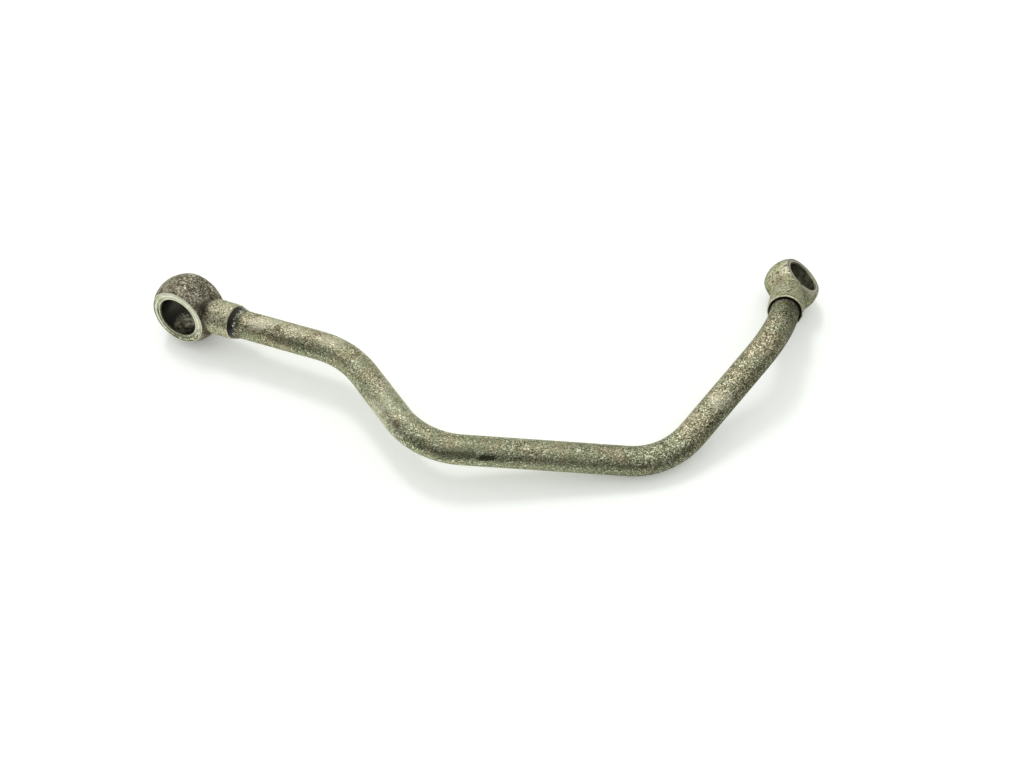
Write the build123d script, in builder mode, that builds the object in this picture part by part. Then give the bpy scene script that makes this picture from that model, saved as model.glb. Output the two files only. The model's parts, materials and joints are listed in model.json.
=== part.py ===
from build123d import *
import os

# Oil line for a turbocharger: a bent steel tube with a ball-shaped banjo eye brazed on each end.
# Millimetres. The line is modelled as it lies on a bench: +Z is up, the bench is z = 0 and the
# origin is under the middle of the line. It stands on the large eye's ball, on the tube's lowest
# bend and on the rim of the small eye's lower face.

# Tube
tube_od = 10.0
tube_wall = 1.0

# Large banjo eye. The neck's end is measured from the middle of the ball, along the tube.
large_ball_d = 24.4
large_width = 13.4
large_bore_d = 14.2
large_passage_d = 7.0
large_neck_end = 20.2
large_facing_d = 23.0
large_bore_lean = Vector(-0.42, -0.88, 0.23)

# Small banjo eye. Its facing cutter is narrow enough to leave a low step on the neck.
small_ball_d = 19.6
small_width = 11.4
small_bore_d = 12.2
small_passage_d = 6.0
small_neck_end = 20.7
small_facing_d = 16.8
small_bore_lean = Vector(0.59, 0.09, 0.81)

# Shared by both eyes
neck_od = 12.4
neck_edge = 0.3
bore_chamfer = 0.4
socket_depth = 8.0
socket_gap = 0.05
socket_mouth = 0.7

# Outside of the braze metal, as distance beyond the neck's end and radius. The large eye's swells
# out of the socket's mouth like a nose, the small eye's lies low in it.
large_braze_outline = [(0.0, 5.75), (1.4, 5.6), (2.5, 5.3), (3.0, 5.0)]
small_braze_outline = [(-0.5, 5.25), (0.3, 5.0)]

# Centre line of the tube: the middle of the large eye, the corners, the middle of the small eye.
# The first corner is the slight set that the tube takes just outside the large eye's neck.
route = [
    (-106.80, 21.30, 12.20),
    (-84.37, 11.43, 14.34),
    (-47.88, -2.20, 16.08),
    (-21.90, -39.10, 14.90),
    (58.90, -38.40, 3.70),
    (98.10, 2.70, 21.90),
    (109.30, 34.10, 9.35),
]
bend_radii = [30.0, 34.5, 25.5, 27.0, 30.0]

tube_r = tube_od / 2
neck_r = neck_od / 2
socket_r = tube_r + socket_gap
mouth_r = socket_r + socket_mouth


def direction(start, end):
    """Unit vector from one point to another."""
    return (end - start).normalized()


def square_to(lean, neck_dir):
    """The bore's axis: its stated lean, turned square to the neck."""
    return (lean - neck_dir * lean.dot(neck_dir)).normalized()


def banjo_eye(centre, neck_dir, bore_dir, ball_d, width, bore_d, passage_d, neck_end, facing_d):
    """A ball eye as it is machined: ball and neck, two facing cuts, bore, passage and socket."""
    half = width / 2
    ball_r = ball_d / 2
    bore_r = bore_d / 2
    passage_r = passage_d / 2
    chamfer_run = bore_chamfer + ball_d
    seat_u = neck_end - socket_depth
    # In the lathe plane, u runs along the neck and v along the bore
    lathe_plane = Plane(origin=centre, x_dir=neck_dir, z_dir=neck_dir.cross(bore_dir))
    bore_plane = Plane(origin=centre, x_dir=neck_dir, z_dir=bore_dir)
    neck_axis = Axis(centre, neck_dir)
    bore_axis = Axis(centre, bore_dir)

    with BuildPart() as eye:
        # Ball, turned about the bore
        with BuildSketch(lathe_plane):
            with BuildLine():
                CenterArc((0, 0), ball_r, -90, 180)
                Line((0, -ball_r), (0, ball_r))
            make_face()
        revolve(axis=bore_axis)
        # Neck, turned about the tube, with its end edge broken
        with BuildSketch(lathe_plane):
            with BuildLine():
                Polyline(
                    (0, 0),
                    (0, neck_r),
                    (neck_end - neck_edge, neck_r),
                    (neck_end, neck_r - neck_edge),
                    (neck_end, 0),
                    close=True,
                )
            make_face()
        revolve(axis=neck_axis)
        # Two facing cuts leave the flat rings that the sealing washers sit on
        for side in (1, -1):
            with BuildSketch(bore_plane.offset(side * half)):
                Circle(facing_d / 2)
            extrude(amount=side * ball_d, mode=Mode.SUBTRACT)
        # Through bore for the hollow bolt, chamfered at both faces
        with BuildSketch(lathe_plane):
            with BuildLine():
                Polyline(
                    (0, -half - ball_d),
                    (bore_r + chamfer_run, -half - ball_d),
                    (bore_r, -half + bore_chamfer),
                    (bore_r, half - bore_chamfer),
                    (bore_r + chamfer_run, half + ball_d),
                    (0, half + ball_d),
                    close=True,
                )
            make_face()
        revolve(axis=bore_axis, mode=Mode.SUBTRACT)
        # Oil passage from the bore, socket for the tube and its countersunk mouth
        with BuildSketch(lathe_plane):
            with BuildLine():
                Polyline(
                    (0, 0),
                    (0, passage_r),
                    (seat_u, passage_r),
                    (seat_u, socket_r),
                    (neck_end - socket_mouth, socket_r),
                    (neck_end, mouth_r),
                    (neck_end, 0),
                    close=True,
                )
            make_face()
        revolve(axis=neck_axis, mode=Mode.SUBTRACT)
    return eye


def braze_fillet(centre, neck_dir, bore_dir, neck_end, outline):
    """Braze metal between the socket's countersunk mouth and the tube, thinning along the tube."""
    outside = [(neck_end + beyond, radius) for beyond, radius in outline]
    lathe_plane = Plane(origin=centre, x_dir=neck_dir, z_dir=neck_dir.cross(bore_dir))
    with BuildPart() as fillet_ring:
        with BuildSketch(lathe_plane):
            with BuildLine():
                Polyline(
                    (neck_end - socket_mouth, tube_r),
                    (neck_end - socket_mouth, socket_r),
                    *outside,
                    close=True,
                )
            make_face()
        revolve(axis=Axis(centre, neck_dir))
    return fillet_ring


points = [Vector(*point) for point in route]
large_middle = points[0]
small_middle = points[-1]
large_neck = direction(large_middle, points[1])
small_neck = direction(small_middle, points[-2])
large_bore = square_to(large_bore_lean, large_neck)
small_bore = square_to(small_bore_lean, small_neck)

large_eye = banjo_eye(
    large_middle,
    large_neck,
    large_bore,
    large_ball_d,
    large_width,
    large_bore_d,
    large_passage_d,
    large_neck_end,
    large_facing_d,
)
small_eye = banjo_eye(
    small_middle,
    small_neck,
    small_bore,
    small_ball_d,
    small_width,
    small_bore_d,
    small_passage_d,
    small_neck_end,
    small_facing_d,
)

# Tube: from the bottom of one socket to the bottom of the other
tube_start = large_middle + large_neck * (large_neck_end - socket_depth)
tube_finish = small_middle + small_neck * (small_neck_end - socket_depth)
with BuildPart() as oil_tube:
    with BuildLine() as centre_line:
        FilletPolyline(tube_start, *points[1:-1], tube_finish, radius=bend_radii)
    with BuildSketch(Plane(origin=tube_start, z_dir=large_neck)):
        Circle(tube_r)
        Circle(tube_r - tube_wall, mode=Mode.SUBTRACT)
    sweep(path=centre_line.line)

large_braze = braze_fillet(large_middle, large_neck, large_bore, large_neck_end, large_braze_outline)
small_braze = braze_fillet(small_middle, small_neck, small_bore, small_neck_end, small_braze_outline)

oil_tube.part.label = "oil_tube"
large_eye.part.label = "large_eye"
small_eye.part.label = "small_eye"
large_braze.part.label = "large_braze"
small_braze.part.label = "small_braze"

os.makedirs("parts", exist_ok=True)
export_step(oil_tube.part, "parts/oil_tube.step")
export_step(large_eye.part, "parts/large_eye.step")
export_step(small_eye.part, "parts/small_eye.step")
export_step(large_braze.part, "parts/large_braze.step")
export_step(small_braze.part, "parts/small_braze.step")
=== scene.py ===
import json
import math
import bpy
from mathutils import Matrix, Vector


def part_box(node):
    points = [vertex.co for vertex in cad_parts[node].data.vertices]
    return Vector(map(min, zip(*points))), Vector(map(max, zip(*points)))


bl_info = {
    "name": "Turbo Oil Line",
    "version": (1, 0, 0),
    "blender": (4, 5, 0),
    "location": "View3D > Sidebar > Oil Line",
    "description": "Finishes a bent steel oil line with a banjo eye on each end, and lights it",
    "category": "Object",
}

import bpy
from mathutils import Vector

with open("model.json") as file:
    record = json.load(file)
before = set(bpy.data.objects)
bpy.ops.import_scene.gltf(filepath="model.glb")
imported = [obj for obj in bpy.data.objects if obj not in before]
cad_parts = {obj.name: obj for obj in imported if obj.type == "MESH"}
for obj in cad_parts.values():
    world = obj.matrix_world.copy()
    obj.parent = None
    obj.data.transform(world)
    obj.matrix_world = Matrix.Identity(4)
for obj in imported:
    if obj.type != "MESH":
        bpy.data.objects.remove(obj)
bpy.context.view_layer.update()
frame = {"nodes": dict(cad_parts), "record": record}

MM = 0.001
mounts = {mount["name"]: mount for mount in frame["record"]["mounts"]}


# Sizes and colours


def colour_setting(name, description, default):
    """A colour that the sidebar's user may change."""
    return bpy.props.FloatVectorProperty(
        name=name, description=description, subtype="COLOR", size=3, min=0, max=1, default=default
    )


def length_setting(name, description, default):
    """A length on the part in millimetres."""
    return bpy.props.FloatProperty(name=name, description=description, min=0, default=default)


def distance_setting(name, description, default):
    """A distance in the studio, in metres."""
    return bpy.props.FloatProperty(
        name=name,
        description=description,
        subtype="DISTANCE",
        unit="LENGTH",
        min=0,
        default=default,
    )


class TubeFinish(bpy.types.PropertyGroup):
    """Tarnished plating of the bent tube."""

    plating: colour_setting("Plating", "Clean plating on the crests", (0.88, 0.84, 0.64))
    tarnish: colour_setting("Tarnish", "Dull olive film over most of the plating", (0.345, 0.347, 0.22))
    pits: colour_setting("Pits", "Dirt in the pits of the plating", (0.10, 0.10, 0.06))
    # Heat tint, and painted shade on the right of the tube beside the small eye
    scorch_and_shade: colour_setting("Scorch", "Multiplies the colour beside the necks", (0.26, 0.27, 0.245))
    rust: colour_setting("Rust", "Brown specks in the pits here and there", (0.10, 0.065, 0.035))
    warm: colour_setting("Warm cast", "Multiplies the colour near the ends", (0.96, 0.905, 0.86))
    cool: colour_setting("Cool cast", "Multiplies the colour along the middle", (0.88, 0.935, 0.89))
    oil: colour_setting("Oil", "Old oil stain", (0.05, 0.052, 0.032))
    grain: length_setting("Grain size", "Size of one grain of the sandy plating, in millimetres", 0.42)
    relief: length_setting("Relief", "Height of the grain, in millimetres", 0.46)
    gloss: bpy.props.FloatProperty(
        name="Roughness", description="Roughness of the plating", min=0, max=1, default=0.27
    )


class EyeFinish(bpy.types.PropertyGroup):
    """Sizes and finish of the two banjo eyes."""

    large_ball_r: length_setting("Large ball", "Radius of the large ball", 12.2)
    small_ball_r: length_setting("Small ball", "Radius of the small ball", 9.8)
    large_neck_end: length_setting("Large neck", "From the ball's middle to the neck's end", 20.2)
    small_neck_end: length_setting("Small neck", "From the ball's middle to the neck's end", 20.7)
    neck_r: length_setting("Neck", "Radius of both necks", 6.2)
    socket_r: length_setting("Socket", "Radius of the socket's mouth", 5.75)
    chamfer: length_setting("Chamfer", "Width of the bore's chamfer", 0.4)
    large_ball: colour_setting("Large ball", "Brown tarnish on the large ball", (0.092, 0.078, 0.054))
    small_plating: colour_setting("Small eye", "Olive film on the small eye", (0.51, 0.505, 0.325))
    small_neck: colour_setting("Small neck", "Thinner film on the small neck", (0.60, 0.60, 0.40))
    mossy: colour_setting("Mossy cast", "Multiplies the colour of the eyes in patches", (0.955, 1.0, 0.86))
    neck: colour_setting("Large neck", "Paler plating on the large neck", (0.41, 0.40, 0.26))
    crests: colour_setting("Crests", "Plating rubbed clean on the crests", (0.86, 0.81, 0.61))
    pits: colour_setting("Pits", "Dirt in the pits", (0.06, 0.053, 0.036))
    face: colour_setting("Face", "Bright turned sealing face", (0.93, 0.92, 0.74))
    # Darker turned lines, and painted shade in the bore's chamfer
    score_and_shade: colour_setting("Scored lines", "Darker turned lines of the large face", (0.085, 0.092, 0.042))
    small_face: colour_setting("Small face", "Greyer turned sealing face", (0.76, 0.76, 0.63))
    film: colour_setting("Film", "Yellow-green film on the large face", (0.50, 0.53, 0.33))
    brown: colour_setting("Brown", "Brown patches of the thin plating", (0.26, 0.185, 0.105))
    # Bore walls: oil, and painted shade in the bores and the tube's sockets
    bore: colour_setting("Large bore", "Oily dark wall of the large bore", (0.045, 0.045, 0.035))
    small_bore: colour_setting("Small bore", "Duller wall of the small bore", (0.11, 0.11, 0.08))
    smear: colour_setting("Smears", "Brown residue smeared in the bore", (0.36, 0.34, 0.24))
    # Painted shade in the crease between ball and neck
    crease_shade: colour_setting("Grime", "Brown grime in the creases", (0.055, 0.045, 0.03))
    # Where each ball has a painted highlight patch, from its middle
    rubbed: bpy.props.FloatVectorProperty(
        name="Rubbed",
        description="Where a ball is rubbed clean, from its middle",
        subtype="XYZ",
        size=3,
        default=(0.45, 0.2, 0.87),
    )
    grain: length_setting("Grain size", "Size of one grain of the plating, in millimetres", 0.48)
    relief: length_setting("Relief", "Height of the grain, in millimetres", 0.42)


class BrazeFinish(bpy.types.PropertyGroup):
    """Burnt braze metal."""

    burnt: colour_setting("Burnt", "Burnt flux beside the neck", (0.028, 0.027, 0.022))
    charcoal: colour_setting("Charcoal", "Scorched metal on the rest", (0.12, 0.118, 0.09))


class StudioSettings(bpy.types.PropertyGroup):
    """Floor, lamps and camera."""

    floor: colour_setting("Floor", "Colour of the bench paper", (0.965, 1.0, 0.955))
    floor_reach: distance_setting("Floor reach", "From the middle of the floor to its edges", 3.0)
    overexposed: bpy.props.FloatProperty(
        name="White share", description="White that the picture adds to the floor", min=0, default=0.15
    )
    sky_front: bpy.props.FloatProperty(
        name="Light from the front", description="Soft light from the low front", min=0, default=0.50
    )
    sky_back: bpy.props.FloatProperty(
        name="Light from above", description="Soft light from above and behind", min=0, default=0.96
    )
    key_watts: bpy.props.FloatProperty(
        name="Key lamp", description="Power of the long overhead lamp", min=0, default=10
    )
    lamp_length: distance_setting("Lamp length", "Length of the key lamp", 0.5)
    lamp_width: distance_setting("Lamp width", "Width of the key lamp", 0.4)
    lamp_distance: distance_setting("Lamp distance", "From the part to the key lamp", 2.2)
    key_towards: bpy.props.FloatVectorProperty(
        name="Key direction",
        description="Where the long lamp hangs, from the part",
        subtype="XYZ",
        size=3,
        default=(-0.23, 0.56, 1.0),
    )
    dark_side: bpy.props.FloatVectorProperty(
        name="Dark side",
        description="Where the dark part of the room lies, from the part",
        subtype="DIRECTION",
        size=3,
        default=(0, -1, 0),
    )
    dark_level: bpy.props.FloatProperty(
        name="Dark level", description="Brightness of the dark part in reflections", min=0, default=0.03
    )
    behind_level: bpy.props.FloatProperty(
        name="Level behind",
        description="Brightness low behind on the left in reflections",
        min=0,
        default=0.96,
    )
    right_level: bpy.props.FloatProperty(
        name="Level right",
        description="Brightness low behind on the right in reflections",
        min=0,
        default=0.28,
    )
    glow: bpy.props.FloatProperty(
        name="Lamp's glow", description="What the lamp adds to reflections", min=0, default=0.75
    )
    lens: bpy.props.FloatProperty(
        name="Lens", description="Focal length in millimetres", min=1, default=39.02
    )
    distance: distance_setting("Distance", "From the camera to the bench along its sight", 0.3891)
    elevation: bpy.props.FloatProperty(
        name="Elevation",
        description="How steeply the camera looks down",
        subtype="ANGLE",
        unit="ROTATION",
        default=math.radians(54),
    )
    aim: bpy.props.FloatVectorProperty(
        name="Aim",
        description="Point on the bench in the middle of the picture",
        subtype="XYZ",
        unit="LENGTH",
        size=3,
        default=(0.0077, -0.0033, 0),
    )


# Node helpers


def put(tree, kind, feeds=None, **settings):
    """A new node with its settings; each feed is another node's socket or a plain value."""
    node = tree.nodes.new(kind)
    for name, value in settings.items():
        setattr(node, name, value)
    for key, value in (feeds or {}).items():
        feed_socket(tree, node.inputs[key], value)
    return node


def feed_socket(tree, socket, value):
    """Links another node's socket, or sets a plain value."""
    if isinstance(value, bpy.types.NodeSocket):
        tree.links.new(value, socket)
    else:
        socket.default_value = value


def calc(tree, operation, *values):
    """One Math node's result."""
    return put(tree, "ShaderNodeMath", dict(enumerate(values)), operation=operation).outputs[0]


def vector(tree, operation, *values, scale=None):
    """One Vector Math node's result: a number for a length or a dot product, else a vector."""
    feeds = dict(enumerate(values))
    if scale is not None:
        feeds["Scale"] = scale
    node = put(tree, "ShaderNodeVectorMath", feeds, operation=operation)
    return node.outputs["Value" if operation in ("LENGTH", "DOT_PRODUCT") else "Vector"]


def ramp(tree, value, low, high, to_low=0.0, to_high=1.0):
    """Value eased from to_low at low to to_high at high."""
    feeds = {0: value, 1: low, 2: high, 3: to_low, 4: to_high}
    return put(tree, "ShaderNodeMapRange", feeds, interpolation_type="SMOOTHSTEP").outputs[0]


def level(tree, mask, where_off, where_on):
    """One level where the mask is nothing and another where it is full."""
    return ramp(tree, mask, 0.0, 1.0, where_off, where_on)


def band(tree, value, middle, half, soft):
    """One within half of the middle, easing to nothing over soft beyond it."""
    off = calc(tree, "ABSOLUTE", calc(tree, "SUBTRACT", value, middle))
    return ramp(tree, off, half, half + soft, 1.0, 0.0)


def all_of(tree, *masks):
    """Where all the masks hold; a plain number among them is a strength."""
    result = masks[0]
    for mask in masks[1:]:
        result = calc(tree, "MULTIPLY", result, mask)
    return result


def any_of(tree, *masks):
    """Where any of the masks holds."""
    result = masks[0]
    for mask in masks[1:]:
        result = calc(tree, "MAXIMUM", result, mask)
    return result


def instead(tree, factor, first, second):
    """The first value, giving way to the second as the factor goes to one."""
    feeds = {0: factor, 2: first, 3: second}
    return put(tree, "ShaderNodeMix", feeds, data_type="FLOAT").outputs[0]


def blend_colour(tree, factor, under, over, blend_type="MIX"):
    """Two colours mixed by a mask."""
    node = put(tree, "ShaderNodeMix", data_type="RGBA", blend_type=blend_type)
    for key, value in {"Factor": factor, "A": under, "B": over}.items():
        feed_socket(tree, next(s for s in node.inputs if s.name == key and s.enabled), value)
    return next(s for s in node.outputs if s.enabled)


def rgba(colour):
    """A colour with full cover."""
    return (*colour, 1)


def noise(tree, position, scale, detail=2.0, roughness=0.5):
    """Soft noise between nothing and one."""
    feeds = {"Vector": position, "Scale": scale, "Detail": detail, "Roughness": roughness}
    return put(tree, "ShaderNodeTexNoise", feeds, noise_dimensions="3D").outputs[0]


# Shared effects

FLOAT, VECTOR = "NodeSocketFloat", "NodeSocketVector"
SHARED = {}


def new_group(name, inputs, outputs):
    """An empty shader node group with its sockets; returns the tree, its inputs and its outlet."""
    tree = bpy.data.node_groups.new(name, "ShaderNodeTree")
    for label, kind, default in inputs:
        socket = tree.interface.new_socket(label, in_out="INPUT", socket_type=kind)
        socket.default_value = default
    for label, kind in outputs:
        tree.interface.new_socket(label, in_out="OUTPUT", socket_type=kind)
    return tree, tree.nodes.new("NodeGroupInput").outputs, tree.nodes.new("NodeGroupOutput")


def make_axis_group():
    """Distance from an axis, and along it, both in millimetres."""
    tree, feed, outlet = new_group(
        "Distance from axis",
        [("Position", VECTOR, (0, 0, 0)), ("Middle", VECTOR, (0, 0, 0)), ("Axis", VECTOR, (0, 0, 1))],
        [("Radius", FLOAT), ("Along", FLOAT)],
    )
    from_middle = vector(tree, "SUBTRACT", feed["Position"], feed["Middle"])
    along = vector(tree, "DOT_PRODUCT", from_middle, feed["Axis"])
    on_axis = vector(tree, "SCALE", feed["Axis"], scale=along)
    off_axis = vector(tree, "SUBTRACT", from_middle, on_axis)
    tree.links.new(vector(tree, "LENGTH", off_axis), outlet.inputs["Radius"])
    tree.links.new(along, outlet.inputs["Along"])
    return tree


def make_mottle_group():
    """Cloudy tarnish: a mask of soft patches broken up by finer ones."""
    tree, feed, outlet = new_group(
        "Mottle",
        [("Position", VECTOR, (0, 0, 0)), ("Patch", FLOAT, 3.0), ("Cover", FLOAT, 0.5)],
        [("Mask", FLOAT)],
    )
    soft = 0.12
    frequency = calc(tree, "DIVIDE", 1.0, feed["Patch"])
    broad = noise(tree, feed["Position"], frequency, 3.0, 0.6)
    fine = noise(tree, feed["Position"], calc(tree, "MULTIPLY", frequency, 5.0), 2.0, 0.6)
    cloudy = calc(
        tree, "ADD", calc(tree, "MULTIPLY", broad, 0.65), calc(tree, "MULTIPLY", fine, 0.35)
    )
    edge = calc(tree, "SUBTRACT", 1.0, feed["Cover"])
    mask = ramp(tree, cloudy, calc(tree, "SUBTRACT", edge, soft), calc(tree, "ADD", edge, soft))
    tree.links.new(mask, outlet.inputs["Mask"])
    return tree


def make_grain_group():
    """Sandy plating: a bumpy height, and the crests and pits of its grains as masks."""
    tree, feed, outlet = new_group(
        "Plating grain",
        [("Position", VECTOR, (0, 0, 0)), ("Grain", FLOAT, 0.5)],
        [("Height", FLOAT), ("Crests", FLOAT), ("Pits", FLOAT)],
    )
    frequency = calc(tree, "DIVIDE", 1.0, feed["Grain"])
    # Each grain has its own level; a wander of the position keeps its outline from being straight
    wander = put(
        tree,
        "ShaderNodeTexNoise",
        {"Vector": feed["Position"], "Scale": frequency, "Detail": 1.0, "Roughness": 0.5},
        noise_dimensions="3D",
    ).outputs[1]
    wander_mm = vector(tree, "SCALE", wander, scale=feed["Grain"])
    moved = vector(tree, "ADD", feed["Position"], wander_mm)
    cells = put(tree, "ShaderNodeTexVoronoi", {"Vector": moved, "Scale": frequency}, feature="F1")
    own_level = put(tree, "ShaderNodeSeparateColor", {0: cells.outputs["Color"]}).outputs[0]
    body = noise(tree, feed["Position"], calc(tree, "MULTIPLY", frequency, 0.8), 2.0, 0.6)
    broad = noise(tree, feed["Position"], calc(tree, "MULTIPLY", frequency, 0.25), 2.0, 0.5)
    height = calc(
        tree,
        "ADD",
        calc(tree, "MULTIPLY", own_level, 0.24),
        calc(tree, "ADD", calc(tree, "MULTIPLY", body, 0.6), calc(tree, "MULTIPLY", broad, 0.16)),
    )
    tree.links.new(height, outlet.inputs["Height"])
    tree.links.new(ramp(tree, height, 0.54, 0.64), outlet.inputs["Crests"])
    tree.links.new(ramp(tree, height, 0.46, 0.36), outlet.inputs["Pits"])
    return tree


def make_turning_group():
    """Turned rings round an axis: a height and a light and dark tone that change with radius."""
    tree, feed, outlet = new_group(
        "Turning marks",
        [("Radius", FLOAT, 0.0), ("Pitch", FLOAT, 0.3)],
        [("Height", FLOAT), ("Tone", FLOAT)],
    )
    turns = calc(tree, "DIVIDE", feed["Radius"], feed["Pitch"])
    rings = put(
        tree,
        "ShaderNodeTexNoise",
        {"W": turns, "Scale": 1.0, "Detail": 2.0, "Roughness": 0.6},
        noise_dimensions="1D",
    ).outputs[0]
    tree.links.new(rings, outlet.inputs["Height"])
    tree.links.new(ramp(tree, rings, 0.42, 0.58), outlet.inputs["Tone"])
    return tree


MAKERS = {
    "axis": make_axis_group,
    "mottle": make_mottle_group,
    "grain": make_grain_group,
    "turning": make_turning_group,
}


def place_group(tree, name, **feeds):
    """A node that holds a shared group, fed by name; the group is built when it is first used."""
    if name not in SHARED:
        SHARED[name] = MAKERS[name]()
    node = put(tree, "ShaderNodeGroup", node_tree=SHARED[name])
    for key, value in feeds.items():
        feed_socket(tree, node.inputs[key.capitalize()], value)
    return node.outputs


def mottle(tree, position, patch, cover):
    """A mask of cloudy patches of that size in millimetres, over that share of the surface."""
    return place_group(tree, "mottle", position=position, patch=patch, cover=cover)["Mask"]


def spot(tree, position, middle, reach, ragged=0.35):
    """A ragged blot about a point; reach is its half length along x, y and z in millimetres."""
    off = vector(tree, "SUBTRACT", position, middle)
    away = vector(tree, "LENGTH", vector(tree, "DIVIDE", off, reach))
    wander = calc(tree, "SUBTRACT", noise(tree, position, 1.3, 3.0, 0.6), 0.5)
    rough_edge = calc(tree, "MULTIPLY", wander, ragged * 4)
    return ramp(tree, calc(tree, "ADD", away, rough_edge), 0.75, 1.15, 1.0, 0.0)


def strongest(tree, position, places, within=1.0):
    """The strongest of several blots, each given as its middle, its reach and its strength."""
    blots = []
    for middle, reach, strength in places:
        blots.append(all_of(tree, spot(tree, position, middle, reach), within, strength))
    return any_of(tree, *blots)


# What every finish starts and ends with

METALLIC = 0.9
EDGE_TINT = (0.6, 0.6, 0.55, 1)
UP = Vector((0, 0, 1))


def new_material(name):
    """A material with one Principled shader, and its surface position in millimetres."""
    material = bpy.data.materials.new(name)
    material.use_nodes = True
    tree = material.node_tree
    shader = tree.nodes["Principled BSDF"]
    place = put(tree, "ShaderNodeTexCoord").outputs["Object"]
    position = vector(tree, "SCALE", place, scale=1 / MM)
    return material, tree, shader, position


def plate(tree, shader, colour, gloss, height, depth_mm):
    """Feeds the shader of plated steel: its colour, its gloss and a bump of that depth."""
    tree.links.new(colour, shader.inputs["Base Color"])
    tree.links.new(gloss, shader.inputs["Roughness"])
    relief_bump(tree, shader, height, depth_mm)
    shader.inputs["Metallic"].default_value = METALLIC
    shader.inputs["Specular Tint"].default_value = EDGE_TINT


def relief_bump(tree, shader, height, depth_mm):
    """Feeds a height to the shader as a bump of that depth."""
    feeds = {"Height": height, "Strength": 1.0, "Distance": depth_mm * MM}
    tree.links.new(put(tree, "ShaderNodeBump", feeds).outputs[0], shader.inputs["Normal"])


def dress(node, material):
    """Gives a carried-over CAD node one material, in its own slots."""
    mesh = frame["nodes"][node].data
    mesh.materials.clear()
    mesh.materials.append(material)


def in_mm(point):
    """A point of the frame in millimetres."""
    return Vector(value / MM for value in point)


def neck_line(eye):
    """Middle of an eye's ball in millimetres, and the direction of its neck."""
    middle = Vector(mounts[eye + "_bore"]["pos_m"])
    low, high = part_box(eye.replace("eye", "braze"))
    ring_middle = (Vector(low) + Vector(high)) / 2
    return in_mm(middle), (ring_middle - middle).normalized()


# The bent tube


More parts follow.
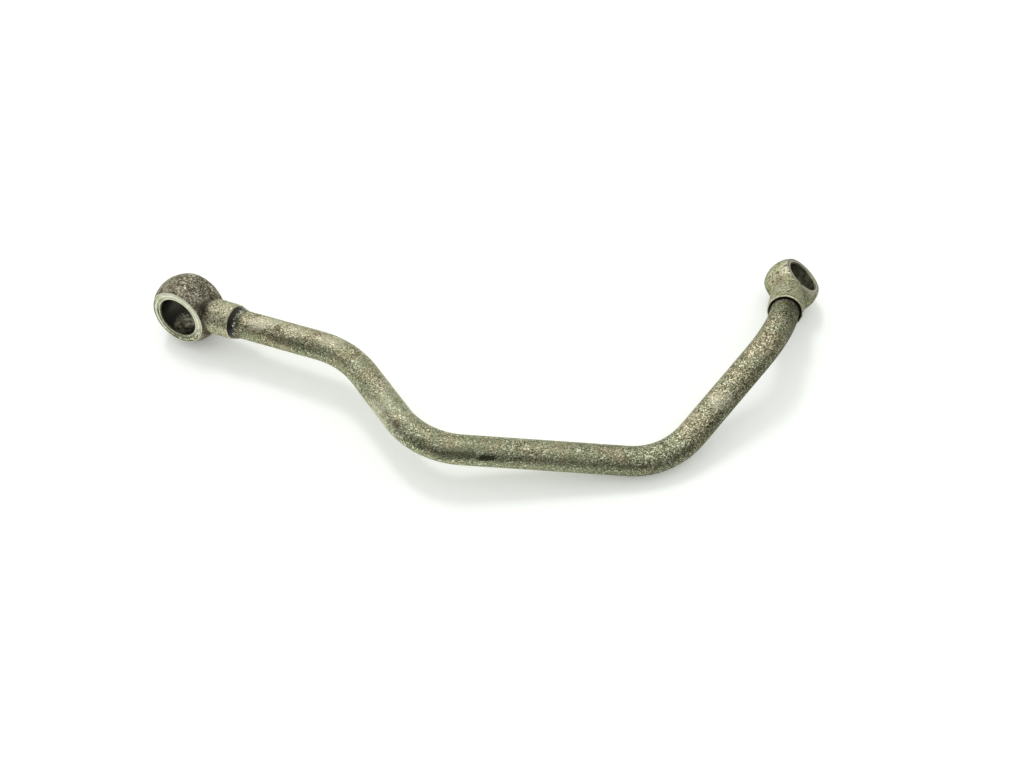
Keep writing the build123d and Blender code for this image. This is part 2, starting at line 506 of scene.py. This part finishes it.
class OILLINE_OT_finish_tube(bpy.types.Operator):
    """Gives the bent tube its tarnished, sandy plating, scorched ends and oil stains, and painted
    highlight and shade on it
    """

    bl_idname = "oilline.finish_tube"
    bl_label = "Finish the tube"

    # Places on the tube in millimetres: middle, reach along x, y and z, and strength
    # Rubbed plating; the first three places also paint the highlight along the top of the first run
    RUBBED_AND_HIGHLIGHT = (
        ((-77.0, 8.6, 19.6), (7.0, 3.0, 2.6), 0.35),
        ((-66.0, 4.6, 20.2), (5.0, 2.6, 2.6), 0.2),
        ((-53.0, 0.0, 20.7), (5.5, 3.0, 2.6), 0.25),
        ((77.0, -22.0, 16.3), (4.5, 3.5, 3.0), 0.3),
        ((-31.0, -24.0, 18.0), (9.0, 14.0, 7.0), 0.14),
    )
    SCRAPED = (((-35.5, -28.0, 16.6), (4.5, 9.0, 3.2), 0.55),)
    RUST_SPECKS = (
        ((-72.4, 5.5, 19.8), (1.5, 1.5, 1.5), 0.6),
        ((-29.5, -33.2, 19.3), (1.5, 1.5, 1.5), 0.6),
    )
    # Oil stains, and one painted dark reflection
    STAINS_AND_DARK_REFLECTION = (
        ((-0.4, -43.2, 14.5), (3.2, 1.6, 1.05), 0.95),
        ((-11.5, -42.8, 15.8), (8.5, 2.0, 1.6), 0.4),
        ((12.0, -43.2, 12.8), (16.0, 2.0, 1.7), 0.08),
        # Painted dark reflection: a long dark band along the front of the first run
        ((-66.0, 0.4, 17.4), (13.0, 5.0, 1.6), 0.4),
    )
    STAINED_PITS = (
        ((-37.6, -17.4, 20.6), (2.6, 2.6, 2.2), 1.0),
        ((-36.0, -19.4, 20.4), (1.8, 1.8, 1.6), 1.0),
        ((-74.0, 5.5, 18.6), (5.0, 3.0, 2.4), 0.8),
    )
    # Direction of the steep run between the second and the third bend
    STEEP_RUN = (0.575, -0.817, -0.026)

    def execute(self, context):
        look = context.scene.oil_line_tube
        material, tree, shader, position = new_material("tarnished_plating")
        grain = place_group(tree, "grain", position=position, grain=look.grain)
        colour = self.plating(tree, position, grain, look)
        # Rubbed plating and the painted highlight take the clean plating's colour
        colour = blend_colour(tree, self.worn_clean_and_highlight(tree, position), colour, rgba(look.plating))
        specks = strongest(tree, position, self.RUST_SPECKS)
        colour = blend_colour(tree, specks, colour, rgba(look.rust))
        stains_and_dark_reflection = any_of(
            tree,
            strongest(tree, position, self.STAINS_AND_DARK_REFLECTION),
            strongest(tree, position, self.STAINED_PITS, grain["Pits"]),
        )
        # The oil colour also paints the dark reflection band on the first run
        colour = blend_colour(tree, stains_and_dark_reflection, colour, rgba(look.oil))
        # Heat tint beside the necks, with painted shade on the right beside the small eye
        heat = self.heat_marks_and_shade(tree, position, context.scene.oil_line_eyes)
        colour = blend_colour(tree, heat, colour, rgba(look.scorch_and_shade), "MULTIPLY")
        gloss = ramp(tree, grain["Height"], 0.3, 0.7, look.gloss + 0.12, look.gloss - 0.08)
        plate(tree, shader, colour, gloss, grain["Height"], look.relief)
        dress("oil_tube", material)
        return {"FINISHED"}

    def plating(self, tree, position, grain, look):
        """The tarnished film, its dull patches, pits and crests, and a warm and a cool cast."""
        film = mottle(tree, position, patch=2.4, cover=0.72)
        thin_film = blend_colour(tree, 0.42, rgba(look.tarnish), rgba(look.plating))
        colour = blend_colour(tree, film, thin_film, rgba(look.tarnish))
        dull = mottle(tree, position, patch=4.5, cover=0.42)
        colour = blend_colour(tree, all_of(tree, dull, 0.3), colour, rgba(look.pits))

        # The grain stands out in some stretches, and most towards the small eye
        lengthwise = put(tree, "ShaderNodeSeparateXYZ", {0: position}).outputs[0]
        grainy = calc(
            tree,
            "ADD",
            ramp(tree, noise(tree, position, 0.14, 2.0, 0.5), 0.38, 0.6, 0.6, 1.05),
            ramp(tree, lengthwise, 35.0, 65.0, 0.0, 0.7),
        )
        rusty = ramp(tree, noise(tree, position, 0.16, 2.0, 0.6), 0.5, 0.68)
        in_pits = blend_colour(tree, rusty, rgba(look.pits), rgba(look.rust))
        colour = blend_colour(tree, all_of(tree, grain["Pits"], grainy), colour, in_pits)
        crests = all_of(tree, grain["Crests"], grainy)
        colour = blend_colour(tree, crests, colour, rgba(look.plating))

        # Both ends are warmer in colour than the middle
        near_ends = calc(
            tree,
            "ADD",
            ramp(tree, lengthwise, -55.0, -25.0, 0.06, -0.03),
            ramp(tree, lengthwise, 45.0, 75.0, 0.0, 0.12),
        )
        warmth = calc(tree, "ADD", noise(tree, position, 0.12, 3.0, 0.6), near_ends)
        cast = blend_colour(tree, ramp(tree, warmth, 0.4, 0.66), rgba(look.cool), rgba(look.warm))
        return blend_colour(tree, 1.0, colour, cast, "MULTIPLY")

    def worn_clean_and_highlight(self, tree, position):
        """Where the plating is rubbed clean, with a painted highlight along the top of the first run, and
        the lengthwise scrapes on the steep run.
        """
        stretch = 0.93
        along = vector(tree, "DOT_PRODUCT", position, self.STEEP_RUN)
        shift = vector(tree, "SCALE", self.STEEP_RUN, scale=calc(tree, "MULTIPLY", along, -stretch))
        squeezed = vector(tree, "ADD", position, shift)
        streaks = ramp(tree, noise(tree, squeezed, 1.6, 2.0, 0.6), 0.4, 0.62)
        return any_of(
            tree,
            strongest(tree, position, self.RUBBED_AND_HIGHLIGHT),
            strongest(tree, position, self.SCRAPED, streaks),
        )

    def heat_marks_and_shade(self, tree, position, eyes):
        """Where the heat beside the necks darkened the tube; beside the small eye the darkening is on the
        right side only, which is painted shade.
        """
        marks = []
        # How far the mark is full and then fades, its strength, and its share on the left side
        for eye, neck_end, full, fade, strength, on_left in (
            ("large_eye", eyes.large_neck_end, 2.4, 3.0, 0.9, 1.0),
            # Beside the small eye only the right side darkens: painted shade
            ("small_eye", eyes.small_neck_end, 7.0, 12.0, 0.62, 0.0),
        ):
            middle, neck = neck_line(eye)
            stem = place_group(tree, "axis", position=position, middle=middle, axis=neck)
            beyond = calc(tree, "SUBTRACT", stem["Along"], neck_end)
            off_middle = vector(tree, "SUBTRACT", position, middle)
            side = vector(tree, "DOT_PRODUCT", off_middle, UP.cross(neck))
            marks.append(
                all_of(
                    tree,
                    ramp(tree, beyond, full, full + fade, strength, 0.0),
                    ramp(tree, stem["Radius"], 7.0, 12.0, 1.0, 0.0),
                    ramp(tree, side, -5.0, 2.0, on_left, 1.0),
                )
            )
        return any_of(tree, *marks)


# The banjo eyes


class EyeSurface:
    """The material of one eye as it is built: its sizes in millimetres and where things are."""

    def __init__(self, look, node, face, ball_r, neck_end, soiling_and_shade, bare):
        bore = mounts[node + "_bore"]
        self.look = look
        self.node = node
        self.neck_end = neck_end
        self.soiling_and_shade = soiling_and_shade
        self.bare = bare
        self.bore_axis = Vector(bore["axis"])
        self.bore_r = bore["dims"]["r_mm"]
        self.middle, self.neck = neck_line(node)
        self.below = self.neck.cross(self.bore_axis)
        self.half = (in_mm(mounts[face]["pos_m"]) - self.middle).dot(self.bore_axis)
        self.flat_r = math.sqrt(ball_r**2 - self.half**2)
        self.chamfer_r = self.bore_r + look.chamfer
        self.crease = math.sqrt(ball_r**2 - look.neck_r**2)
        self.highlight_patch_middle = self.middle + Vector(look.rubbed) * ball_r

        self.material, tree, self.shader, self.position = new_material(node + "_finish")
        self.tree = tree
        self.off_middle = vector(tree, "SUBTRACT", self.position, self.middle)
        place = {"position": self.position, "middle": self.middle}
        self.ring = place_group(tree, "axis", **place, axis=self.bore_axis)
        self.stem = place_group(tree, "axis", **place, axis=self.neck)
        self.grain = place_group(tree, "grain", position=self.position, grain=look.grain)
        self.film = mottle(tree, self.position, patch=3.5, cover=0.5)
        self.turned = place_group(tree, "turning", radius=self.ring["Radius"], pitch=0.9)
        self.mask_turned_places()
        self.on_neck = ramp(tree, self.stem["Along"], self.crease - 0.6, self.crease + 0.8)

    def mask_turned_places(self):
        """Masks of the sealing faces, their inner chamfers, the bore and the tube's socket."""
        tree, radius, along = self.tree, self.ring["Radius"], self.stem["Along"]
        depth = calc(tree, "ABSOLUTE", self.ring["Along"])
        chamfer_top = self.half - self.look.chamfer
        socket_r = self.look.socket_r
        self.on_face = all_of(
            tree,
            ramp(tree, depth, self.half - 0.06, self.half - 0.03),
            ramp(tree, radius, self.flat_r + 0.02, self.flat_r + 0.12, 1.0, 0.0),
        )
        self.in_chamfer = all_of(
            tree,
            ramp(tree, radius, self.chamfer_r, self.chamfer_r + 0.05, 1.0, 0.0),
            ramp(tree, depth, chamfer_top - 0.05, chamfer_top),
        )
        self.in_bore = ramp(tree, radius, self.bore_r + 0.03, self.bore_r + 0.08, 1.0, 0.0)
        self.in_socket = all_of(
            tree,
            ramp(tree, self.stem["Radius"], socket_r - 0.05, socket_r, 1.0, 0.0),
            ramp(tree, along, self.bore_r, self.bore_r + 0.2),
        )

    def towards(self, direction, low, high, to_low=0.0, to_high=1.0):
        """A ramp along a direction from the middle of the ball."""
        way = vector(self.tree, "DOT_PRODUCT", self.off_middle, direction)
        return ramp(self.tree, way, low, high, to_low, to_high)

    def from_crease(self):
        """Distance from the crease between the ball and the neck."""
        tree = self.tree
        on_stem = put(
            tree, "ShaderNodeCombineXYZ", {0: self.stem["Radius"], 1: self.stem["Along"]}
        ).outputs[0]
        off_crease = vector(tree, "SUBTRACT", on_stem, (self.look.neck_r, self.crease, 0))
        return vector(tree, "LENGTH", off_crease)


class OILLINE_OT_finish_eyes(bpy.types.Operator):
    """Gives both banjo eyes their tarnished balls, pale necks, turned faces and dark bores"""

    bl_idname = "oilline.finish_eyes"
    bl_label = "Finish the eyes"

    # Soiled and shaded places of each eye: middle, reach along x, y and z, strength and which tone
    SOILED_AND_SHADED = {
        "large_eye": (),
        "small_eye": (
            # Painted shade: a darker patch on the right of the small neck
            ((111.2, 23.8, 16.0), (3.0, 3.8, 3.8), 0.38, "pits"),
            ((102.9, 31.2, 15.8), (3.6, 2.6, 2.6), 0.38, "brown"),
        ),
    }
    # Where residue is smeared in each bore: middle and reach
    RESIDUE = {
        "large_eye": ((-109.2, 18.6, 5.8), (4.0, 5.0, 2.8)),
        "small_eye": ((113.0, 38.5, 9.5), (7.0, 7.0, 7.0)),
    }

    def execute(self, context):
        look = context.scene.oil_line_eyes
        large_eye = EyeSurface(
            look,
            "large_eye",
            "large_eye_front_face",
            ball_r=look.large_ball_r,
            neck_end=look.large_neck_end,
            soiling_and_shade=0.95,
            bare=0.3,
        )
        small_eye = EyeSurface(
            look,
            "small_eye",
            "small_eye_upper_face",
            ball_r=look.small_ball_r,
            neck_end=look.small_neck_end,
            soiling_and_shade=0.12,
            bare=1.0,
        )
        self.finish_eye(large_eye, look.large_ball, look.neck, look.face, look.bore)
        self.finish_eye(
            small_eye, look.small_plating, look.small_neck, look.small_face, look.small_bore
        )
        return {"FINISHED"}

    def finish_eye(self, eye, ball_tone, neck_tone, face_tone, bore_shade_tone):
        """One eye: its plating first, then each dirty or turned place over it."""
        tree, look = eye.tree, eye.look
        colour = self.plating(eye, blend_colour(tree, eye.on_neck, rgba(ball_tone), rgba(neck_tone)))
        colour = self.highlights_shade_and_dirt(eye, colour)
        colour = blend_colour(tree, eye.on_face, colour, self.turned_face(eye, rgba(face_tone)))
        # Painted shade: the bore's chamfer darkened all round
        colour = blend_colour(tree, all_of(tree, eye.in_chamfer, 0.7), colour, rgba(look.score_and_shade))
        # The bore and the tube's socket take the dark wall: oil, and painted shade in these recesses
        inside = any_of(tree, eye.in_bore, eye.in_socket)
        colour = blend_colour(tree, inside, colour, self.bore_wall_and_shade(eye, rgba(bore_shade_tone)))
        smooth = any_of(tree, eye.in_bore, eye.in_chamfer, eye.on_face)
        height = calc(
            tree,
            "ADD",
            all_of(tree, eye.grain["Height"], level(tree, smooth, 1.0, 0.15)),
            all_of(tree, eye.turned["Height"], eye.on_face, 0.3),
        )
        gloss = ramp(tree, eye.grain["Height"], 0.3, 0.7, 0.5, 0.3)
        plate(tree, eye.shader, colour, gloss, height, look.relief)
        dress(eye.node, eye.material)

    def plating(self, eye, colour):
        """The film where it is thin, brown and mossy patches, and the pits and crests, shown in a painted
        highlight patch on the ball.
        """
        tree, look, position = eye.tree, eye.look, eye.position
        thin = all_of(tree, level(tree, eye.film, 1.0, 0.0), level(tree, eye.on_neck, 0.3, 0.1))
        colour = blend_colour(tree, thin, colour, rgba(look.crests))
        patches = all_of(tree, mottle(tree, position, patch=5.0, cover=0.4), eye.bare, 0.62)
        colour = blend_colour(tree, patches, colour, rgba(look.brown))
        mossy = ramp(tree, noise(tree, position, 0.2, 2.0, 0.5), 0.46, 0.56)
        mossy = all_of(tree, mossy, eye.bare)
        colour = blend_colour(tree, mossy, colour, rgba(look.mossy), "MULTIPLY")
        # Painted highlight: a patch on the ball where the grain's pits and bright crests show
        rubbed = spot(tree, position, eye.highlight_patch_middle, (7.5, 7.5, 7.5))
        bright = any_of(tree, rubbed, level(tree, eye.on_neck, eye.bare, 1.0))
        pitted = all_of(tree, eye.grain["Pits"], level(tree, bright, 0.45, 1.0))
        colour = blend_colour(tree, pitted, colour, rgba(look.pits))
        clean = all_of(tree, eye.grain["Crests"], level(tree, eye.film, 1.0, 0.6), bright)
        return blend_colour(tree, clean, colour, rgba(look.crests))

    def highlights_shade_and_dirt(self, eye, colour):
        """Painted highlights on the neck's rim and along the crease, painted shade in the crease, and the
        soiled places.
        """
        tree, look = eye.tree, eye.look
        # Painted highlight: a bright line round the neck's end
        rim = all_of(
            tree,
            ramp(tree, eye.stem["Along"], eye.neck_end - 0.45, eye.neck_end - 0.3),
            ramp(tree, eye.stem["Radius"], look.socket_r + 0.02, look.socket_r + 0.1),
            0.4,
        )
        from_crease = eye.from_crease()
        # Painted highlight: a thin light line along the crease
        crease_highlight = ramp(tree, from_crease, 0.12, 0.4, 1.0, 0.0)
        crease_highlight = all_of(tree, crease_highlight, 1.0 - eye.soiling_and_shade, 0.85)
        colour = blend_colour(tree, any_of(tree, rim, crease_highlight), colour, rgba(look.crests))
        # Painted shade in the crease between the ball and the neck
        crease_shade = all_of(
            tree,
            ramp(tree, from_crease, 0.2, 2.8, 1.0, 0.0),
            level(tree, eye.film, 0.45, 0.95),
            eye.soiling_and_shade,
        )
        colour = blend_colour(tree, crease_shade, colour, rgba(look.crease_shade))
        # Soiled places, and a painted shade patch on the small neck
        for place, reach, strength, tone in self.SOILED_AND_SHADED[eye.node]:
            soiled = all_of(tree, spot(tree, eye.position, place, reach), strength)
            colour = blend_colour(tree, soiled, colour, rgba(getattr(look, tone)))
        return colour

    def turned_face(self, eye, tone):
        """The sealing face: turned lines, a darker rim, mottling low down, film and grooves."""
        tree, look, radius = eye.tree, eye.look, eye.ring["Radius"]
        broken = ramp(tree, noise(tree, eye.position, 0.45, 2.0, 0.5), 0.36, 0.56, 0.7, 1.0)
        lines = all_of(tree, level(tree, eye.turned["Tone"], 1.0, 0.0), broken, 0.5)
        outer = all_of(tree, ramp(tree, radius, eye.flat_r - 1.2, eye.flat_r, 0.0, 0.45), eye.soiling_and_shade)
        specks = ramp(tree, noise(tree, eye.position, 1.1, 3.0, 0.65), 0.42, 0.56)
        low_end = eye.towards(eye.below + eye.neck * 0.3, 2.0, 8.0)
        mottled = all_of(tree, low_end, specks, eye.soiling_and_shade, 0.95)
        film_middle = eye.middle + eye.bore_axis * eye.half - (eye.below + eye.neck) * 5.6
        filmed = spot(tree, eye.position, film_middle, (2.4, 2.4, 1.6))
        filmed = all_of(tree, filmed, eye.soiling_and_shade, 0.7)
        worn_side = eye.towards(eye.below * 0.77 - eye.neck * 0.64, -3.0, 5.0, 0.35, 1.0)
        grooves = any_of(
            tree,
            band(tree, radius, eye.flat_r - 0.36, 0.22, 0.15),
            band(tree, radius, eye.chamfer_r + 0.75, 0.4, 0.25),
        )
        worn = all_of(tree, grooves, worn_side, broken, eye.soiling_and_shade)
        edges = any_of(
            tree,
            band(tree, radius, eye.flat_r - 0.12, 0.06, 0.1),
            band(tree, radius, eye.chamfer_r, 0.05, 0.1),
        )
        colour = tone
        for mask, over in (
            (lines, look.score_and_shade),
            (outer, look.score_and_shade),
            (mottled, look.score_and_shade),
            (filmed, look.film),
            (worn, look.score_and_shade),
            (all_of(tree, edges, 0.7), look.face),
        ):
            colour = blend_colour(tree, mask, colour, rgba(over))
        return colour

    def bore_wall_and_shade(self, eye, tone):
        """The dark wall of the bore, oil and painted shade, with smears of residue."""
        smears = mottle(eye.tree, eye.position, patch=1.6, cover=0.5)
        residue = spot(eye.tree, eye.position, *self.RESIDUE[eye.node])
        smeared = all_of(eye.tree, smears, residue)
        return blend_colour(eye.tree, smeared, tone, rgba(eye.look.smear))


# The braze rings


class OILLINE_OT_finish_braze(bpy.types.Operator):
    """Gives the braze rings their burnt, oxidised look"""

    bl_idname = "oilline.finish_braze"
    bl_label = "Finish the braze"

    def execute(self, context):
        eyes = context.scene.oil_line_eyes
        self.finish_ring(context, "large_braze", "large_eye", eyes.large_neck_end)
        self.finish_ring(context, "small_braze", "small_eye", eyes.small_neck_end)
        return {"FINISHED"}

    def finish_ring(self, context, node, eye, neck_end):
        """Burnt flux beside the neck, and scorched metal with the tube's grain beyond it."""
        look = context.scene.oil_line_braze
        tube = context.scene.oil_line_tube
        material, tree, shader, position = new_material(node + "_finish")
        middle, neck = neck_line(eye)
        stem = place_group(tree, "axis", position=position, middle=middle, axis=neck)
        grain = place_group(tree, "grain", position=position, grain=tube.grain)
        clear = calc(
            tree,
            "ADD",
            calc(tree, "SUBTRACT", stem["Along"], neck_end),
            calc(tree, "MULTIPLY", grain["Height"], 0.9),
        )
        metal = blend_colour(tree, grain["Crests"], rgba(look.charcoal), rgba(tube.plating))
        metal = blend_colour(tree, grain["Pits"], metal, rgba(look.burnt))
        colour = blend_colour(tree, ramp(tree, clear, 2.0, 2.8), rgba(look.burnt), metal)
        relief_bump(tree, shader, grain["Height"], tube.relief)
        tree.links.new(colour, shader.inputs["Base Color"])
        shader.inputs["Metallic"].default_value = 0.85
        shader.inputs["Roughness"].default_value = 0.4
        dress(node, material)


# The studio

WHITE = (1, 1, 1, 1)


def seen_directly(tree, path):
    """One for the rays that show the background: camera, glossy and transmission rays."""
    rays = ("Is Camera Ray", "Is Glossy Ray", "Is Transmission Ray")
    return any_of(tree, *(path.outputs[ray] for ray in rays))


class OILLINE_OT_build_studio(bpy.types.Operator):
    """Lays the pale bench paper, hangs the lamps and sets the camera"""

    bl_idname = "oilline.build_studio"
    bl_label = "Build the studio"

    # The pale oval of paper that the metal mirrors: its middle and its half sizes, in metres
    OVAL_MIDDLE = (-0.025, 0, 0)
    OVAL_HALF = (0.118, 0.07, 1)

    def execute(self, context):
        look = context.scene.oil_line_studio
        self.lay_floor(context, look)
        self.set_world(context, look)
        self.hang_key_lamp(context, look)
        self.set_camera(context, look)
        context.scene.view_settings.view_transform = "Standard"
        return {"FINISHED"}

    def lay_floor(self, context, look):
        """A flat square of pale paper under the part."""
        mesh = bpy.data.meshes.new("bench_paper")
        reach = look.floor_reach
        corners = [(-reach, -reach, 0), (reach, -reach, 0), (reach, reach, 0), (-reach, reach, 0)]
        mesh.from_pydata(corners, [], [(0, 1, 2, 3)])
        floor = bpy.data.objects.new("bench_paper", mesh)
        context.scene.collection.objects.link(floor)
        mesh.materials.append(self.paper(look))

    def paper(self, look):
        """Diffuse paper, a little overexposed where it is seen, that turns plain white far out."""
        material = bpy.data.materials.new("bench_paper")
        material.use_nodes = True
        tree = material.node_tree
        tree.nodes.clear()
        path = put(tree, "ShaderNodeLightPath")
        place = put(tree, "ShaderNodeTexCoord").outputs["Object"]
        along, across = put(tree, "ShaderNodeSeparateXYZ", {0: place}).outputs[:2]
        mirrored = path.outputs["Is Glossy Ray"]
        added = calc(
            tree,
            "ADD",
            calc(tree, "MULTIPLY", path.outputs["Is Camera Ray"], look.overexposed),
            calc(tree, "MULTIPLY", mirrored, ramp(tree, along, 0.07, 0.01, 0.0, 0.4)),
        )
        diffuse = put(tree, "ShaderNodeBsdfDiffuse", {"Color": rgba(look.floor)})
        lift = put(tree, "ShaderNodeEmission", {"Color": WHITE, "Strength": added})
        lit = put(tree, "ShaderNodeAddShader", {0: diffuse.outputs[0], 1: lift.outputs[0]})
        away = vector(tree, "LENGTH", place)
        far = calc(tree, "MULTIPLY", ramp(tree, away, 0.22, 0.6), seen_directly(tree, path))
        white = put(tree, "ShaderNodeEmission", {"Color": WHITE, "Strength": 1.0})
        spread = put(tree, "ShaderNodeMixShader", {0: far, 1: lit.outputs[0], 2: white.outputs[0]})

        # The metal mirrors the dark room beyond the oval's front, and dimmer paper on the right
        from_oval = vector(tree, "SUBTRACT", place, self.OVAL_MIDDLE)
        oval = vector(tree, "LENGTH", vector(tree, "DIVIDE", from_oval, self.OVAL_HALF))
        side = calc(tree, "ADD", across, calc(tree, "MULTIPLY", calc(tree, "ABSOLUTE", along), 0.25))
        beyond = all_of(tree, ramp(tree, oval, 0.9, 1.3), ramp(tree, side, 0.01, -0.02))
        dim = any_of(tree, beyond, ramp(tree, along, 0.06, 0.1, 0.0, 0.45))
        dim = all_of(tree, dim, mirrored)
        dark = put(tree, "ShaderNodeEmission", {"Color": WHITE, "Strength": look.dark_level})
        mixed = put(tree, "ShaderNodeMixShader", {0: dim, 1: spread.outputs[0], 2: dark.outputs[0]})
        put(tree, "ShaderNodeOutputMaterial", {"Surface": mixed.outputs[0]})
        return material

    def set_world(self, context, look):
        """Soft light from above and behind, white where it is seen; metal mirrors a dark front."""
        world = bpy.data.worlds.new("studio")
        world.use_nodes = True
        tree = world.node_tree
        tree.nodes.clear()
        towards = put(tree, "ShaderNodeTexCoord").outputs["Generated"]
        facing = vector(tree, "DOT_PRODUCT", towards, Vector(look.key_towards).normalized())
        strength = ramp(tree, facing, -0.2, 0.9, look.sky_front, look.sky_back)
        path = put(tree, "ShaderNodeLightPath")
        strength = instead(tree, seen_directly(tree, path), strength, 1.0)
        room = self.mirrored_room(tree, towards, facing, look)
        strength = instead(tree, path.outputs["Is Glossy Ray"], strength, room)
        light = put(tree, "ShaderNodeBackground", {"Color": WHITE, "Strength": strength})
        put(tree, "ShaderNodeOutputWorld", {"Surface": light.outputs[0]})
        context.scene.world = world

    def mirrored_room(self, tree, towards, facing, look):
        """The room as the metal mirrors it: dark in front, paler behind, with the lamp's glow."""
        height = put(tree, "ShaderNodeSeparateXYZ", {0: towards}).outputs[2]
        flattened = vector(tree, "MULTIPLY", towards, (1, 1, 0))
        level_way = vector(tree, "NORMALIZE", flattened)
        to_right = put(tree, "ShaderNodeSeparateXYZ", {0: level_way}).outputs[0]
        low_behind = ramp(tree, to_right, -0.1, 0.3, look.behind_level, look.right_level)
        behind = instead(tree, ramp(tree, height, 0.2, 0.9), low_behind, 1.0)
        darker = ramp(tree, to_right, -0.3, -0.7, 0.0, 0.18)
        front_height = calc(tree, "SUBTRACT", height, darker)
        front = ramp(tree, front_height, 0.2, 1.0, look.dark_level, 1.0)
        ahead = vector(tree, "DOT_PRODUCT", level_way, look.dark_side)
        glow = ramp(tree, facing, 0.80, 0.98, 0.0, look.glow)
        return calc(tree, "ADD", instead(tree, ramp(tree, ahead, 0.06, 0.26), behind, front), glow)

    def hang_key_lamp(self, context, look):
        """A long soft lamp above and behind the part; metal mirrors the room's glow in its place."""
        lamp = bpy.data.lights.new("long_lamp", "AREA")
        lamp.shape = "RECTANGLE"
        lamp.size = look.lamp_length
        lamp.size_y = look.lamp_width
        lamp.energy = look.key_watts
        hung = bpy.data.objects.new("long_lamp", lamp)
        towards = Vector(look.key_towards).normalized()
        hung.location = towards * look.lamp_distance
        hung.rotation_mode = "QUATERNION"
        hung.rotation_quaternion = towards.to_track_quat("Z", "X")
        hung.visible_glossy = False
        context.scene.collection.objects.link(hung)

    def set_camera(self, context, look):
        """The camera at the viewing angle of the picture."""
        lens = bpy.data.cameras.new("camera")
        lens.lens = look.lens
        lens.sensor_width = 36
        lens.clip_start = 0.01
        lens.clip_end = 50
        camera = bpy.data.objects.new("camera", lens)
        back = Vector((0, -math.cos(look.elevation), math.sin(look.elevation)))
        camera.location = Vector(look.aim) + back * look.distance
        camera.rotation_euler = (math.pi / 2 - look.elevation, 0, 0)
        context.scene.collection.objects.link(camera)
        context.scene.camera = camera


# The sidebar and the run

STEPS = (
    OILLINE_OT_finish_tube,
    OILLINE_OT_finish_eyes,
    OILLINE_OT_finish_braze,
    OILLINE_OT_build_studio,
)
SETTINGS = {
    "oil_line_tube": TubeFinish,
    "oil_line_eyes": EyeFinish,
    "oil_line_braze": BrazeFinish,
    "oil_line_studio": StudioSettings,
}


class OILLINE_PT_sidebar(bpy.types.Panel):
    """The oil line's steps, in order"""

    bl_idname = "OILLINE_PT_sidebar"
    bl_label = "Oil Line"
    bl_space_type = "VIEW_3D"
    bl_region_type = "UI"
    bl_category = "Oil Line"

    def draw(self, context):
        for step in STEPS:
            self.layout.operator(step.bl_idname)


def register():
    for group in SETTINGS.values():
        bpy.utils.register_class(group)
    for name, group in SETTINGS.items():
        setattr(bpy.types.Scene, name, bpy.props.PointerProperty(type=group))
    for step in STEPS:
        bpy.utils.register_class(step)
    bpy.utils.register_class(OILLINE_PT_sidebar)


def unregister():
    bpy.utils.unregister_class(OILLINE_PT_sidebar)
    for step in reversed(STEPS):
        bpy.utils.unregister_class(step)
    for name in SETTINGS:
        delattr(bpy.types.Scene, name)
    for group in reversed(SETTINGS.values()):
        bpy.utils.unregister_class(group)


def main():
    register()
    bpy.ops.oilline.finish_tube()
    bpy.ops.oilline.finish_eyes()
    bpy.ops.oilline.finish_braze()
    bpy.ops.oilline.build_studio()


if __name__ == "__main__":
    main()
